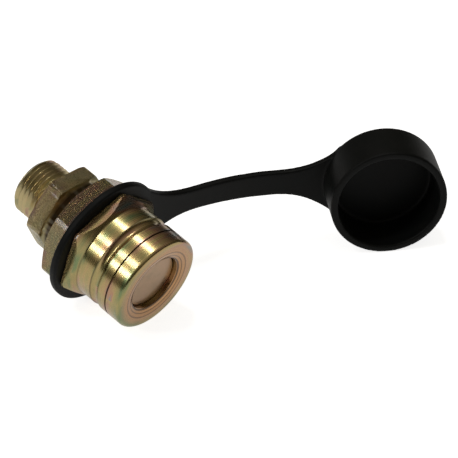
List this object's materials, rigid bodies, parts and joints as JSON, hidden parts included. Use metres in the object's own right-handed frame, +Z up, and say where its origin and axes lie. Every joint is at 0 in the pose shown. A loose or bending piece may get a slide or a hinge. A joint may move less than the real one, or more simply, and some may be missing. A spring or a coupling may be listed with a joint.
{
  "type": "hydraulic brake coupling",
  "caption": "Male quick coupling for a trailer's hydraulic brake line: hexagonal steel body, nose with ball groove, threaded pipe stud, sprung poppet valve and rubber dust cap on a strap.",
  "frame": {"origin": "on the floor, under the middle of the whole part's box, as the part lies at rest", "axes": "+X the way the nose points, seen from above, +Y the way the strap leaves the ring, +Z up"},
  "size_m": [0.0876, 0.1158, 0.0392],
  "materials": {
    "passivated_steel": "zinc plated, yellow passivated, turned",
    "plain_steel": "plain",
    "seal_rubber": "smooth",
    "cap_rubber": "moulded, half matt"
  },
  "bodies": {
    "coupling": {"coupling_body": "passivated_steel", "rear_adapter": "passivated_steel", "adapter_seal_ring": "seal_rubber", "valve_guide": "plain_steel", "valve_spring": "plain_steel"},
    "valve": {"valve_poppet": "passivated_steel", "valve_seal_ring": "seal_rubber"},
    "cap": {"dust_cap": "cap_rubber"}
  },
  "joints": [
    {"name": "valve_stroke", "type": "slide", "parent": "coupling", "child": "valve", "axis": [-0.9733, 0, 0.2295], "range_m": [0, 0.0055], "stiffness_N_per_m": 2900, "springref_m": -0.003, "deforming": ["valve_spring"]},
    {"name": "cap_swivel", "type": "hinge", "parent": "coupling", "child": "cap", "pos_m": [-0.01366, -0.03792, 0.01959], "axis": [0.9733, 0, -0.2295], "continuous": true}
  ]
}
